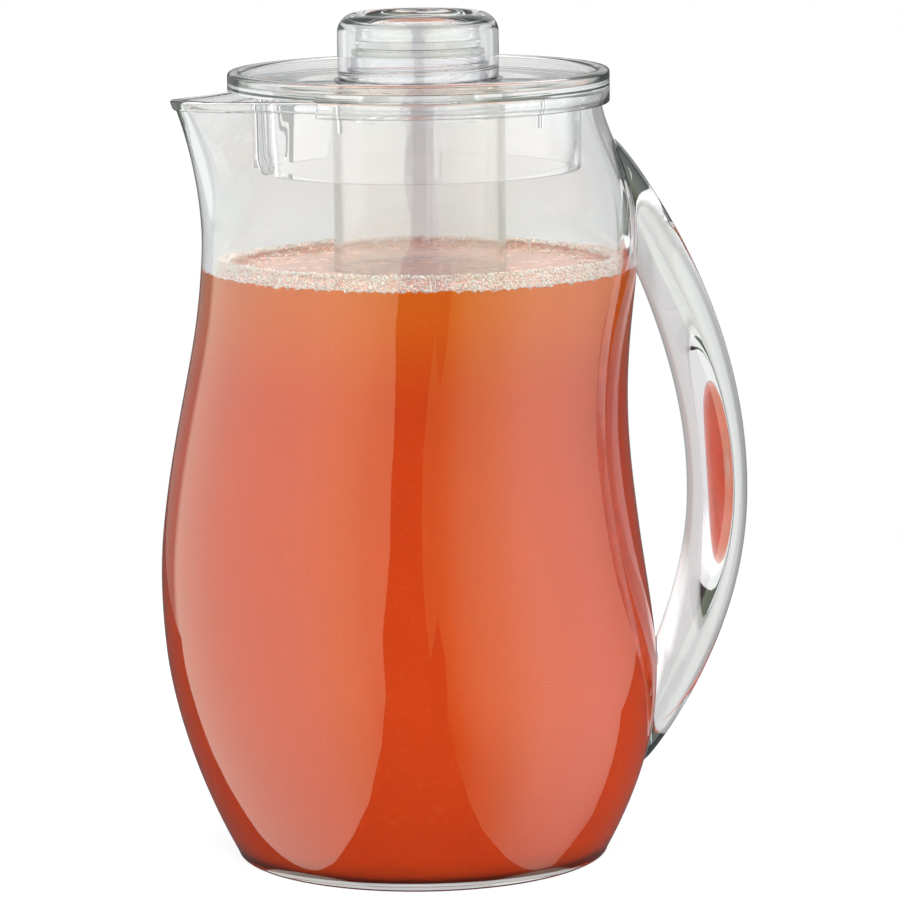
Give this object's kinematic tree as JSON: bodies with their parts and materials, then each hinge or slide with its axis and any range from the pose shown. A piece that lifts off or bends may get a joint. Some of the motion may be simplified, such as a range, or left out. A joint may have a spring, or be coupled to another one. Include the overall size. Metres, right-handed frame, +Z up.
{
  "type": "plastic carafe",
  "caption": "Clear plastic juice carafe: round bellied body with spout, crescent handle, lift-off strainer lid, ice tube hanging inside and a dished screw cap.",
  "frame": {"origin": "on the axis of the mouth, lid and cap, in the plane of the base", "axes": "+Z up, -X out of the spout, +X out of the handle, +Y across"},
  "size_m": [0.1945, 0.1628, 0.2794],
  "materials": {
    "clear_plastic": "water-clear, polished",
    "pale_plastic": "clear with a faint milky haze, polished",
    "seal_rubber": "translucent, satin"
  },
  "bodies": {
    "carafe": {"carafe_body": "clear_plastic", "handle": "clear_plastic"},
    "lid": {"lid": "clear_plastic"},
    "cap_seal": {"cap_seal": "seal_rubber"},
    "cap": {"screw_cap": "clear_plastic"},
    "tube_seal": {"tube_seal": "seal_rubber"},
    "tube": {"ice_tube": "pale_plastic"}
  },
  "joints": [
    {"name": "lid_lift", "type": "slide", "parent": "carafe", "child": "lid", "axis": [0, 0, 1], "range_m": [0, 0.2]},
    {"name": "cap_rise", "type": "slide", "parent": "lid", "child": "cap_seal", "axis": [0, 0, 1], "range_m": [0, 0.005]},
    {"name": "cap_turn", "type": "hinge", "parent": "cap_seal", "child": "cap", "pos_m": [0, 0, 0.27], "axis": [0, 0, 1], "range_deg": [0, 450]},
    {"name": "tube_drop", "type": "slide", "parent": "lid", "child": "tube_seal", "axis": [0, 0, -1], "range_m": [0, 0.005]},
    {"name": "tube_turn", "type": "hinge", "parent": "tube_seal", "child": "tube", "pos_m": [0, 0, 0.25], "axis": [0, 0, -1], "range_deg": [0, 450]}
  ],
  "couplings": [
    {"joint": "cap_rise", "follows": "cap_turn", "m_per_rad": 0.00063662},
    {"joint": "tube_drop", "follows": "tube_turn", "m_per_rad": 0.00063662}
  ]
}
